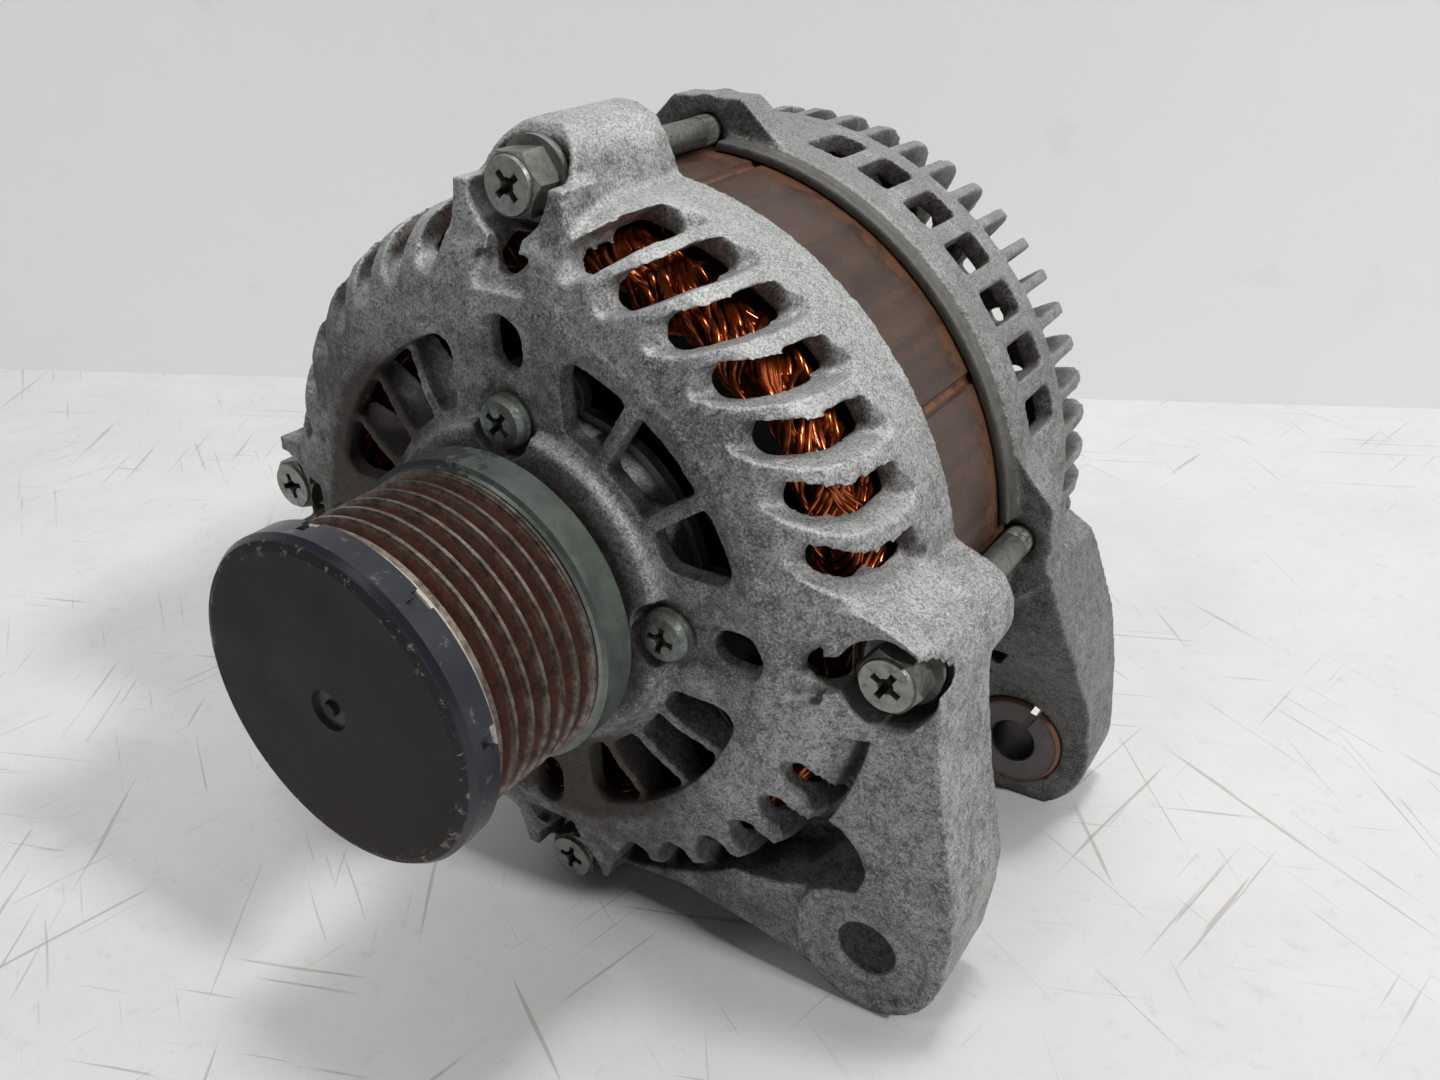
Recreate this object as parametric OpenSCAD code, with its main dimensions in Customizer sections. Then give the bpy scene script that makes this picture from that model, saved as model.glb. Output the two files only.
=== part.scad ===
// Car alternator: two slotted cast brackets around a laminated stator, claw-pole rotor,
// one-way belt pulley with dust cap, rectifier, regulator and brushes in the rear bracket.
// Millimetres. The rotor axis is Y, the pulley points to -Y (the front), +Z is up.
// The origin is on the rotor axis in the middle of the belt grooves.
// Parts are drawn from the front bracket's rim plane, where y = 0, and moved by place().

/* [Pulley] */
// Radius over the crests of the belt grooves
crest_r = 26.2; // [25.8:0.1:26.6]
// Depth of a belt groove
groove_depth = 3.2; // [2.8:0.1:3.4]
// Pitch of the belt grooves
groove_pitch = 3.56; // [3.5:0.01:3.58]
// Radius of the dust cap's band
cap_r = 28.2; // [27.8:0.1:28.6]
// Radius of the flange ring behind the grooves
flange_r = 27.8; // [27:0.1:28.2]

/* [Brackets] */
// Outer radius of the front bracket's rim
rim_r = 65.8; // [65.4:0.1:66]
// Radius of the circle through the four through-bolts
bolt_circle_r = 67.3; // [67:0.1:67.6]
// Radius of the circle through the four retainer screws
screw_circle_r = 30.8; // [30.6:0.1:31]
// Width of a slot between two bars of the front bracket
slot_w = 5.4; // [5:0.1:5.5]
// Width of a window in the rear bracket's wall
rear_window_w = 6.6; // [5.6:0.1:7]
// Thickness of an axial fin on the rear bracket
fin_t = 2.5; // [2:0.1:2.8]

/* [Mounting lugs] */
// Distance of the lug axis to the side of the rotor axis
lug_x = 65.84; // [65.4:0.1:66.2]
// Depth of the lug axis below the rotor axis
lug_drop = 57.45; // [57:0.1:57.9]
// Radius of the front lug's bolt hole
front_bore_r = 5.3; // [5:0.1:5.5]
// Radius of the rear bush's bolt hole
bush_bore_r = 4.6; // [4.4:0.1:5]

/* [Stator and rotor] */
// Outer radius of the stator core
stator_r = 64.4; // [64.2:0.1:64.4]
// Outer radius of the claw poles
pole_r = 51.8; // [51:0.1:51.9]
// Number of claws on each pole half
pole_pairs = 8; // [6:1:9]
// Number of stator slots
slots = 36; // [24:12:48]

/* [Hidden] */
$fn = 64;
belt_to_rim = 60.5;
lug_z = -lug_drop;
gap = 0.04;

// Pulley
groove_count = 6;
groove_start_y = -71;
ring_bore_r = 21.7;
ring_rear_bore_r = 18.5;
hub_r = 13.1;
hub_front_y = -70.3;
hub_rear_y = -41.4;

// Shaft seats
pulley_seat_r = 8;
front_seat_r = 8.5;
rotor_seat_r = 9.5;
slip_ring_seat_r = 6.4;
rear_seat_r = 7.5;

// Bearings: [front, rear] faces, radii of the races, and balls
front_bearing_y = [-36.5, -22.5];
front_inner_race_r = 13;
front_outer_race_r = 19;
front_bearing_r = 23.5;
front_ball_r = 4.6;
front_ball_count = 7;
rear_bearing_y = [57, 67];
rear_inner_race_r = 10.4;
rear_outer_race_r = 14.6;
rear_bearing_r = 17.5;
rear_ball_r = 3.2;
rear_ball_count = 8;
front_ball_circle_r = (front_inner_race_r + front_outer_race_r) / 2;
rear_ball_circle_r = (rear_inner_race_r + rear_outer_race_r) / 2;

// Rotor and stator
pole_face_y = -12;
coil_length = 26;
bobbin_wall = 1.2;
bobbin_r = 25.8;
stack_length = 27;

// Slip rings, brushes and springs
slip_ring_y = [46.8, 51.8];
slip_ring_w = 4;
brush_start_z = 7.66;
brush_length = 12.5;
brush_end_z = brush_start_z + brush_length;
brush_slot_end_z = 30;
spring_turns = 8;
spring_wire = 0.5;

// Front bracket
face_y = -36;
shoulder_inner_r = 49;

// Rear bracket and what is screwed to it
upper_screw_angles = [35, 145];
lower_screw_angles = [215, 325];
rear_screw_angles = concat(upper_screw_angles, lower_screw_angles);
rear_screw_circle_r = 38;
stud_x = 46;
bush_seat_r = 10.54;

// Four equal places round the axis
quarters = [0, 90, 180, 270];

// Colours shared by several nodes
shaft_steel = [0.6, 0.6, 0.62];
outer_race_steel = [0.58, 0.58, 0.6];
ball_steel = [0.75, 0.75, 0.77];
cage_brass = [0.7, 0.55, 0.3];
cast_aluminium = [0.66, 0.66, 0.64];
pole_steel = [0.5, 0.48, 0.46];
fan_steel = [0.33, 0.36, 0.4];
brush_carbon = [0.16, 0.15, 0.15];
spring_steel = [0.65, 0.65, 0.66];
zinc_plate = [0.6, 0.6, 0.56];

// ---------------------------------------------------------------- placing

// Moves a shape drawn from the rim plane to the part's origin.
module place() translate([0, belt_to_rim, 0]) children();

// Turns its children by an angle from +X towards +Z about the Y axis.
module turn(angle) rotate([0, -angle, 0]) children();

// Copies its children to each angle about the Y axis.
module at_angles(angles) for (angle = angles) turn(angle) children();

// Copies its children to each angle on a circle about the Y axis.
module on_circle(radius, angles) at_angles(angles) translate([radius, 0, 0]) children();

module at_lug() translate([lug_x, 0, lug_z]) children();
module at_stud() turn(180) translate([stud_x, 0, 0]) children();

// Evenly spread angles over a full turn.
function spread(count, start = 0) = [for (i = [0:count - 1]) start + 360 / count * i];

// Angles in each quarter, spaced by step to both sides of the quarter's middle.
function quarter_rows(step, each_side) =
  [for (i = [0:3], k = [-each_side:each_side]) 90 * i + 45 + step * k];

// ---------------------------------------------------------------- shapes

// Turns a profile of [radius, y] points about the Y axis.
module turned(points) rotate([-90, 0, 0]) rotate_extrude($fn = 96) polygon(points);

// Ring about the Y axis.
module ring(inner, outer, from, to)
  turned([[inner, from], [outer, from], [outer, to], [inner, to]]);

// Cylinder or prism on the Y axis.
module rod(radius, from, to)
  translate([0, from, 0]) rotate([-90, 0, 0]) cylinder(r = radius, h = to - from);

// Pushes a flat shape drawn in X and Z along Y.
module slab(from, to)
  translate([0, to, 0]) rotate([90, 0, 0]) linear_extrude(to - from) children();

// Pushes a flat shape drawn in Y and Z along X.
module along_x(start, length, y = 0)
  translate([start, y, 0]) rotate([90, 0, 90]) linear_extrude(length) children();

// Plate in the plane of radius and y, centred on the +X half plane.
module fin(thickness, points)
  translate([0, 0, -thickness / 2]) linear_extrude(thickness) polygon(points);

// Block centred in Z, with its low corner at [x, y].
module radial_block(corner, size) translate([corner.x, corner.y, -size.z / 2]) cube(size);

// Block centred about x, starting at y and z.
module centred_block(y, z, size, x = 0) translate([x - size.x / 2, y, z]) cube(size);

// Points on a circular arc.
function arc(centre, radius, from, to, steps) = [for (i = [0:steps])
  let (angle = from + (to - from) * i / steps)
  centre + radius * [cos(angle), sin(angle)]];

// Flat quarter window between two radii and two spokes, with rounded corners.
module window2d(inner, outer, half_spoke, corner) {
  outer_mid = outer - corner;
  inner_mid = inner + corner;
  outer_angle = asin((half_spoke + corner) / outer_mid);
  inner_angle = asin((half_spoke + corner) / inner_mid);
  outer_x = outer_mid * cos(outer_angle);
  outer_y = outer_mid * sin(outer_angle);
  inner_x = inner_mid * cos(inner_angle);
  inner_y = inner_mid * sin(inner_angle);
  polygon(concat(
    arc([outer_x, outer_y], corner, -90, outer_angle, 6),
    arc([0, 0], outer, outer_angle + 4, 86 - outer_angle, 10),
    arc([outer_y, outer_x], corner, 90 - outer_angle, 180, 6),
    arc([inner_y, inner_x], corner, 180, 270 - inner_angle, 6),
    arc([0, 0], inner, 86 - inner_angle, inner_angle + 4, 8),
    arc([inner_x, inner_y], corner, 180 + inner_angle, 270, 6)));
}

// Flat slot along X, with round ends about both x values.
module slot2d(start, end, radius) polygon(concat(
  arc([end, 0], radius, -90, 90, 10),
  arc([start, 0], radius, 90, 270, 10)));

// Flat slot along X, round about its start and square at its end.
module open_slot2d(start, end, radius) polygon(concat(
  [[end, -radius], [end, radius]],
  arc([start, 0], radius, 90, 270, 10)));

// Flat arc between two radii and two angles, pushed along Y.
module arc_plate(inner, outer, start, end, from, to) slab(from, to) intersection() {
  difference() {
    circle(r = outer, $fn = 96);
    circle(r = inner, $fn = 96);
  }
  polygon(concat([[0, 0]], arc([0, 0], 80, start, end, 8)));
}

// Cutter for a cross recess in a screw head, from y = 0 towards +Y.
module cross_recess(reach, depth) {
  arm = reach * 0.22;
  radial_block([-reach, -1], [2 * reach, depth + 1, 2 * arm]);
  radial_block([-arm, -1], [2 * arm, depth + 1, 2 * reach]);
  translate([0, -1, 0]) rotate([-90, 0, 0])
    cylinder(r1 = reach * 0.62, r2 = reach * 0.2, h = depth + 1.6, $fn = 32);
}

// ---------------------------------------------------------------- pulley

module pulley_cap() color([0.12, 0.12, 0.13]) place() difference() {
  turned([[0, -80], [1.2, -80], [1.4, -79.2], [3.2, -79.2], [3.6, -80], [26, -80],
    [27.3, -79.4], [cap_r, -78.2], [cap_r, -73.7], [ring_bore_r, -73.7],
    [ring_bore_r, -70.5], [20.2, -70.5], [20.2, -77.4], [0, -77.4]]);
  // stepped notches round the band
  at_angles(spread(8, 6)) {
    radial_block([cap_r - 1.1, -76.6], [3, 4, 1.8]);
    radial_block([cap_r - 1.1, -75], [3, 2, 3.4]);
  }
}

module pulley_ring() color([0.42, 0.25, 0.19]) place() turned(concat(
  [[ring_bore_r, -73.7], [26.8, -73.7], [27.1, -73.3], [27.1, -72.7], [crest_r, -72.3],
    [crest_r, groove_start_y]],
  [for (k = [0:groove_count - 1]) let (start = groove_start_y + k * groove_pitch) each [
    [crest_r, start],
    [crest_r - groove_depth, start + 1.2],
    [crest_r - groove_depth, start + 1.75],
    [crest_r, start + 2.95]]],
  [[crest_r, -50.1], [crest_r + 0.4, -49.9], [crest_r + 0.4, -49.4],
    [ring_rear_bore_r, -49.4], [ring_rear_bore_r, -55], [ring_bore_r, -55]]));

module pulley_bearings() color([0.55, 0.55, 0.56]) place() {
  ring(hub_r, ring_bore_r - gap, hub_front_y, -64.3);
  ring(hub_r, ring_rear_bore_r - gap, -54.8, -49.6);
}

module clutch_rollers() color([0.5, 0.5, 0.52]) place()
  on_circle(17.4, spread(12, 15)) rod(4.2, -63.8, -55.8, $fn = 24);

module pulley_hub() color([0.48, 0.48, 0.5]) place() difference() {
  ring(pulley_seat_r, hub_r, hub_front_y, hub_rear_y);
  // twelve-sided socket at the front end
  rod(10, -70.5, -64.5, $fn = 12);
}

module pulley_flange() color([0.62, 0.64, 0.6]) place()
  turned([[hub_r, -48.9], [26.4, -48.9], [26.9, -48.5], [flange_r, -48.2],
    [flange_r, -42.2], [27, hub_rear_y], [22, hub_rear_y], [21, -44.5], [hub_r, -44.5]]);

// ---------------------------------------------------------------- shaft and rotor

module rotor_shaft() color(shaft_steel) place() difference() {
  turned([[0, -64], [7.4, -64], [pulley_seat_r, -63], [pulley_seat_r, hub_rear_y],
    [front_seat_r, hub_rear_y], [front_seat_r, -21], [rotor_seat_r, -21],
    [rotor_seat_r, 46], [slip_ring_seat_r, 46], [slip_ring_seat_r, 56.5],
    [rear_seat_r, 57], [rear_seat_r, 67], [7, 67.5], [0, 67.5]]);
  // twelve-sided socket in the front end
  rod(4.5, -64.1, -54.1, $fn = 12);
}

module spacer_collar() color([0.55, 0.55, 0.55]) place()
  ring(front_seat_r, front_inner_race_r, hub_rear_y, front_bearing_y[0]);

// Half of the claw-pole core: disc, core stub and claws pointing to +Y.
module claw_half() {
  difference() {
    turned([[rotor_seat_r, pole_face_y], [39, pole_face_y], [39, -0.2], [24.4, -0.2],
      [24.4, 13], [rotor_seat_r, 13]]);
    on_circle(41, spread(pole_pairs, 180 / pole_pairs)) rod(8.5, -13, 1, $fn = 32);
  }
  at_angles(spread(pole_pairs)) intersection() {
    turned([[30, pole_face_y], [pole_r - 1, pole_face_y], [pole_r, -10.5], [pole_r, 30],
      [47, 30], [44, 0], [44, -0.2], [30, -0.2]]);
    // tapered outline of a claw, as [tangent, y]
    translate([28, 0, 0]) rotate([0, 90, 0]) linear_extrude(30)
      polygon([[-9, pole_face_y], [9, pole_face_y], [9, -0.2], [4.3, 30], [-4.3, 30],
        [-9, -0.2]]);
  }
}

module claw_pole_front() color(pole_steel) place() claw_half();

module claw_pole_rear() color(pole_steel) place()
  translate([0, coil_length, 0]) turn(180 / pole_pairs) mirror([0, 1, 0]) claw_half();

module coil_bobbin() color([0.85, 0.8, 0.65]) place()
  turned([[24.5, 0], [43, 0], [43, bobbin_wall], [bobbin_r, bobbin_wall],
    [bobbin_r, coil_length - bobbin_wall], [43, coil_length - bobbin_wall],
    [43, coil_length], [24.5, coil_length]]);

module field_coil() color([0.7, 0.35, 0.15]) place()
  ring(bobbin_r, 41.5, bobbin_wall, coil_length - bobbin_wall);

// Fan blades with their feet. Corners are [x, y], blade_size is [length, height].
module fan_blades(angles, foot, foot_t, blade, blade_size) at_angles(angles) {
  translate([foot.x, foot.y, -1]) cube([14, foot_t, 9]);
  translate([blade.x, blade.y, -2]) rotate([0, 28, 0])
    cube([blade_size.x, blade_size.y, 1.3]);
}

module front_fan() color(fan_steel) place() {
  difference() {
    ring(rotor_seat_r, 40, -13.6, pole_face_y);
    on_circle(22, spread(6)) rod(3, -14, -11, $fn = 24);
  }
  fan_blades([0, 31, 64, 93, 120, 155, 187, 211, 243, 276, 301, 333],
    foot = [35, -13.4], foot_t = 1.2, blade = [36, -25.8], blade_size = [14, 12.6]);
}

module rear_fan() color(fan_steel) place() {
  difference() {
    ring(rotor_seat_r, 41, 38.05, 39.6);
    on_circle(22, spread(4, 45)) rod(3, 37.5, 40.5, $fn = 24);
  }
  fan_blades([10, 42, 71, 104, 131, 166, 194, 227, 255, 288, 316, 349],
    foot = [36, 38.1], foot_t = 1.4, blade = [37, 38.3], blade_size = [12, 7]);
}

// Two copper rings in the grooves of a dark carrier.
module slip_rings() {
  groove_r = 6.9;
  carrier_r = 7.9;
  color([0.72, 0.45, 0.2]) place()
    for (y = slip_ring_y) ring(groove_r, 7.6, y, y + slip_ring_w);
  color([0.2, 0.1, 0.08]) place() turned(concat(
    [[slip_ring_seat_r, 46], [carrier_r, 46]],
    [for (y = slip_ring_y) each [[carrier_r, y], [groove_r, y],
      [groove_r, y + slip_ring_w], [carrier_r, y + slip_ring_w]]],
    [[carrier_r, 56.5], [slip_ring_seat_r, 56.5]]));
}

// ---------------------------------------------------------------- bearings

// Bearing ring with a ball groove. The span is its [front, rear] faces.
module race(inner, outer, span, circle_r, ball_r) difference() {
  ring(inner, outer, span[0], span[1]);
  translate([0, (span[0] + span[1]) / 2, 0]) rotate([-90, 0, 0])
    rotate_extrude($fn = 64) translate([circle_r, 0]) circle(r = ball_r + gap, $fn = 32);
}

module balls(count, span, circle_r, ball_r) at_angles(spread(count))
  translate([circle_r, (span[0] + span[1]) / 2, 0]) sphere(r = ball_r, $fn = 32);

module cage(count, span, circle_r, ball_r) {
  middle = (span[0] + span[1]) / 2;
  difference() {
    ring(circle_r - 1.1, circle_r + 1.1, middle - ball_r - 0.6, middle + ball_r + 0.6);
    at_angles(spread(count)) translate([circle_r - 2, middle, 0]) rotate([0, 90, 0])
      cylinder(r = ball_r + 0.05, h = 4, $fn = 32);
  }
}

module front_bearing_inner() color(shaft_steel) place()
  race(front_seat_r, front_inner_race_r, front_bearing_y, front_ball_circle_r, front_ball_r);

module front_bearing_outer() color(outer_race_steel) place()
  race(front_outer_race_r, front_bearing_r, front_bearing_y, front_ball_circle_r,
    front_ball_r);

module front_bearing_balls() color(ball_steel) place()
  balls(front_ball_count, front_bearing_y, front_ball_circle_r, front_ball_r);

module front_bearing_cage() color(cage_brass) place()
  cage(front_ball_count, front_bearing_y, front_ball_circle_r, front_ball_r);

module rear_bearing_inner() color(shaft_steel) place()
  race(rear_seat_r, rear_inner_race_r, rear_bearing_y, rear_ball_circle_r, rear_ball_r);

module rear_bearing_outer() color(outer_race_steel) place()
  race(rear_outer_race_r, rear_bearing_r, rear_bearing_y, rear_ball_circle_r, rear_ball_r);

module rear_bearing_balls() color(ball_steel) place()
  balls(rear_ball_count, rear_bearing_y, rear_ball_circle_r, rear_ball_r);

module rear_bearing_cage() color(cage_brass) place()
  cage(rear_ball_count, rear_bearing_y, rear_ball_circle_r, rear_ball_r);

module rear_bearing_sleeve() color([0.2, 0.2, 0.2]) place()
  ring(rear_bearing_r, 18.4, 56.8, 67.4);

module bearing_retainer() color([0.6, 0.6, 0.55]) place() difference() {
  union() {
    ring(20.5, 29, front_bearing_y[1], -20.3);
    on_circle(screw_circle_r, quarters) rod(5, front_bearing_y[1], -20.3, $fn = 32);
  }
  on_circle(screw_circle_r, quarters) rod(2.5, -23, -19, $fn = 32);
}

// ---------------------------------------------------------------- screws and bolts

module retainer_screws() color([0.62, 0.63, 0.58]) place()
  for (i = [0:3]) on_circle(screw_circle_r, [quarters[i]]) difference() {
    turned([[0, -38.6], [2.8, -38.6], [4, -38.2], [4.6, -37.2], [4.7, -36.2], [4.7, -35.4],
      [2.5, -35.4], [2.5, -18.5], [2, -18], [0, -18]]);
    translate([0, -38.6, 0]) rotate([0, 27 * i + 12, 0]) cross_recess(2.5, 1.9);
  }

module through_bolts() color([0.6, 0.61, 0.57]) place()
  for (i = [0:3]) on_circle(bolt_circle_r, [quarters[i]]) difference() {
    union() {
      rod(2.8, -24, 31.5);
      rod(2.88, 20.3, 23.6);
      // washer face
      turned([[2.8, -24.8], [6.75, -24.8], [6.75, -24], [6.6, -23], [2.8, -23]]);
      // round centre of the head
      turned([[0, -31], [4.5, -31], [4.7, -30.6], [4.9, -30], [4.9, -24.8], [0, -24.8]]);
      // hexagon with bevelled corners
      intersection() {
        translate([0, -30.4, 0]) rotate([-90, 10 + 17 * i, 0])
          cylinder(r = 5.77, h = 6, $fn = 6);
        turned([[0, -30.4], [4.9, -30.4], [5.8, -29.5], [5.8, -24.4], [0, -24.4]]);
      }
    }
    translate([0, -31, 0]) rotate([0, 23 * i + 30, 0]) cross_recess(2.7, 2.6);
  }

// ---------------------------------------------------------------- front bracket

// Outline from the rim to the flat face: [share of the way out to the rim, y].
shoulder = [[1, -12], [0.99, -19.6], [0.95, -25.2], [0.86, -29.2], [0.7, -32.2],
  [0.55, -33.9], [0.38, -35], [0.2, -35.7], [0, face_y]];

// Slope cut outside a bolt, [radius, y]: on the lug side's boss and on the others.
lug_side_slope = [[70.5, -40], [90, -40], [90, -6], [77, -20], [73.5, -28.5]];
boss_slope = [[65.2, -40], [90, -40], [90, -6], [77.4, -15.5], [75.4, -21.5],
  [72, -24.3], [68, -27], [65.2, -31.9]];

// Cutter for one slot between two bars. It leaves the rim at the angle and runs inward,
// turned by the sweep from the radial direction. Its x is measured from the rim.
module bar_slot(angle, sweep, inner_end) turn(angle) translate([rim_r, 0, 0]) turn(-sweep) {
  half = slot_w / 2;
  slab(-50, -13.6) open_slot2d(inner_end + 2.5 + half, 12, half);
  // shallow sloping recess at the slot's inner end
  intersection() {
    slab(-50, -27.5) open_slot2d(inner_end + half, inner_end + 8, half - 0.5);
    fin(8, [[inner_end - 2, -50], [inner_end + 6, -50], [inner_end + 6, -29.6],
      [inner_end + 3.2, -31.4], [inner_end + 0.4, -35], [inner_end - 2, -37.5]]);
  }
  // pocket that slopes into the slot's outer end
  intersection() {
    fin(slot_w + 2, [[-6.4, -24], [12, -24], [12, -9.4], [1.4, -9.4], [-4.6, -18.7]]);
    along_x(-10, 30) polygon(concat(
      [[-30, -half - 0.3], [-13.3, -half - 0.3]],
      arc([-13.3, 0], half + 0.3, -90, 90, 10),
      [[-13.3, half + 0.3], [-30, half + 0.3]]));
  }
}

// All slots between the bars, quarter by quarter.
module bar_slots() {
  pitch = 9.8;
  // upper quarter on the lug side and the one opposite
  for (start = [0, 180], k = [0:6])
    bar_slot(start + 12.8 + pitch * k, 38.5, k == 6 ? -12.4 : -14.6);
  // upper quarter away from the lug
  for (k = [0:6]) bar_slot(103.4 + 9.4 * k, 22, -12);
  // lug's quarter
  for (k = [0:5]) bar_slot(pitch * k - 77.2, 38.5, -14.6);
}

// Cutters of one spoke.
module spoke_cuts() {
  // pocket around the retainer screw
  translate([screw_circle_r, 0, 0]) rod(6, -40, -35.4, $fn = 48);
  // channel with its through-hole
  slab(-40, -34.8) slot2d(38, 44.5, 4);
  slab(-36, -28) slot2d(42, 45, 3);
  // sloped ledge
  fin(11, [[52.2, -42], [57.6, -42], [57.6, -30.4], [54.6, -33.2], [52.2, -34.6]]);
  // small slot beside the bolt
  slab(-40, -26) slot2d(57.4, 62, 3.2);
  // bolt pocket and hole
  translate([bolt_circle_r, 0, 0]) {
    rod(7.9, -40, -23, $fn = 48);
    rod(3.2, -30, 10, $fn = 32);
  }
}

// Boss around one through-bolt and the end of its spoke, which runs over the shoulder.
module front_boss(angle) turn(angle) {
  difference() {
    slab(-31.5, 0) {
      translate([bolt_circle_r - 0.6, 0]) circle(r = 9.7, $fn = 64);
      polygon([[56, -14.5], [69, -9.4], [69, 9.4], [56, 14.5]]);
    }
    ring(0, 59, -33, 1);
    ring(0, 61, -20, 1);
    fin(40, angle == 0 ? lug_side_slope : boss_slope);
    // the lowest boss is cut flat under its bolt
    if (angle == 270) translate([74.2, -40, -20]) cube([10, 50, 40]);
  }
  fin(22.8, [[47, face_y], [51.5, face_y], [60, -32.6], [68, -31.5], [68, -22], [61, -22],
    [57, -28.7], [53, -30.8], [47, -31.5]]);
}

// Mounting foot: a leg from the lug side's boss and one from the bottom boss meet at
// the lug, with a deep pocket between them and the barrel. Outlines are [x, z].
module lug_plate() difference() {
  union() {
    slab(-30, -9) difference() {
      union() {
        polygon([[58, -1], [58, -16], [50, -34], [44, -44], [56, -50], [lug_x, lug_z],
          [lug_x + 14.2, lug_z - 3], [lug_x + 15.6, lug_z + 8], [81.8, -42], [78.4, -24],
          [76.5, -10], [76, 0], [70, 4], [60, 2]]);
        translate([lug_x, lug_z]) circle(r = 14.2, $fn = 64);
      }
      // pocket
      polygon([[40, -44], [56, -31.5], [60.4, -33], [63.4, -36.1], [64.9, -40.5],
        [63.4, -45], [58, -46.6], [54.3, -48.9], [40, -60]]);
    }
    // leg from the bottom boss
    slab(-28, -9) polygon([[4, -58], [20, -55.5], [30, -54.5], [41.8, -53.4],
      [47.4, -52.4], [54.3, -49.2], [59, -46], [lug_x + 4, lug_z], [lug_x, -71.6],
      [62, -71.2], [44.7, -67.4], [25.8, -64.6], [12, -66], [4, -66]]);
    // floor of the pocket
    slab(-13.5, -9) polygon([[30, -52], [56, -30], [66, -36], [66, -46], [50, -56],
      [30, -60]]);
  }
  // room for the barrel
  ring(0, 65.6, -40, -12.1);
  ring(0, 61.5, -13, 1);
  // small hole through the pocket's floor
  slab(-20, -5) polygon([[46.4, -49.6], [50.2, -50.4], [52.6, -48.6], [51.5, -46.6]]);
}

// Barrel, flat face and bosses, with the windows and slots cut out.
module front_shell() difference() {
  union() {
    turned(concat(
      [[rim_r, 0]],
      [for (point = shoulder)
        [shoulder_inner_r + (rim_r - shoulder_inner_r) * point[0], point[1]]],
      [[29, face_y], [29, -31.5], [49, -31.5], [53.6, -31], [57.6, -29.2], [60.2, -25.4],
        [61, -19.1], [61, 0]]));
    for (angle = quarters) front_boss(angle);
  }
  at_angles(quarters) slab(-45, -25) window2d(32.6, 45.2, 11.6, 3);
  bar_slots();
}

module front_bracket() color(cast_aluminium) place() difference() {
  union() {
    front_shell();
    lug_plate();
    // hub around the bearing
    turned([[front_bearing_r, -37.4], [24.6, -38.6], [29.5, -38.6], [30.6, -37.8],
      [31, face_y], [32.8, -35.6], [32.8, -31.8], [27.8, -30.3],
      [27.8, front_bearing_y[1]], [front_bearing_r, front_bearing_y[1]]]);
    on_circle(screw_circle_r, quarters) rod(5, -34, front_bearing_y[1], $fn = 32);
    // lip in front of the bearing
    ring(20.5, 24, -38.2, front_bearing_y[0]);
    // low shoulder round the windows
    turned([[46.4, -35.5], [47.2, -36.35], [49.6, -36.35], [50.9, -35.3]]);
    // two ribs in the upper window of the lug side
    at_angles([34, 56]) fin(3, [[31, face_y], [46, face_y], [46, -32], [31, -31]]);
    // three blades in each other window
    at_angles([for (start = [90, 180, 270], step = [30, 45, 60]) start + step])
      fin(2.3, [[31, -36.4], [36, -36.2], [46.5, -34], [46.5, -29], [38, -27], [31, -28]]);
  }
  at_angles(quarters) spoke_cuts();
  on_circle(screw_circle_r, quarters) rod(2.6, -45, -5, $fn = 32);
  // bolt hole and spot face of the lug
  at_lug() {
    rod(front_bore_r, -45, 15);
    rod(8.2, -31, -29.5);
    ring(8.2, 11.6, -31, -29);
  }
}

// ---------------------------------------------------------------- stator

slot_angles = spread(slots, 180 / slots);

module stator_core() color([0.36, 0.2, 0.13]) place() difference() {
  ring(52.4, stator_r, 0, stack_length);
  // winding slots and their mouths
  at_angles(slot_angles) {
    radial_block([53.6, -1], [7.4, stack_length + 2, 3.8]);
    radial_block([50, -1], [5, stack_length + 2, 1.8]);
  }
  // weld grooves along the outside
  on_circle(stator_r + 0.5, [28.5:50:328.5]) rod(1.3, -1, 29, $fn = 24);
}

// Copper in the slots, and the rings of end turns in front and behind.
module stator_winding() color([0.75, 0.38, 0.16]) place() {
  at_angles(slot_angles) radial_block([53.9, -1.6], [6.8, 30.2, 3.2]);
  turned([[54.2, -1], [60.2, -1], [60.2, -14], [59.9, -17.5], [58.5, -20.2], [57.1, -25.2],
    [54.4, -27.4], [51.6, -26.4], [51, -22], [51.2, -12], [54.2, -5]]);
  turned([[54.2, 28], [60.2, 28], [60.2, 34], [59.4, 38.5], [57, 40.5], [54.8, 39],
    [54.2, 34]]);
}

module slot_insulation() color([0.85, 0.78, 0.6]) place()
  at_angles(slot_angles) difference() {
    radial_block([53.6, -0.9], [7.3, 28.8, 3.8]);
    radial_block([53.9, -2], [6.8, 31, 3.2]);
    radial_block([53, -2], [1.5, 31, 1.8]);
  }

module winding_shield() color([0.86, 0.8, 0.66]) place() difference() {
  ring(61, 63.2, stack_length, 38.4);
  at_angles(spread(18, 5)) radial_block([60, 34], [5, 6, 4]);
}

// ---------------------------------------------------------------- rear bracket

// Lobe around one through-bolt.
module rear_lobe() difference() {
  slab(24, 31.5) {
    translate([bolt_circle_r, 0]) circle(r = 6.6, $fn = 48);
    polygon([[59, -26], [67, -14.5], [73.4, -7.4], [73.4, 7.4], [67, 14.5], [59, 26]]);
  }
  ring(0, 65.3, 20, 40);
}

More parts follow.
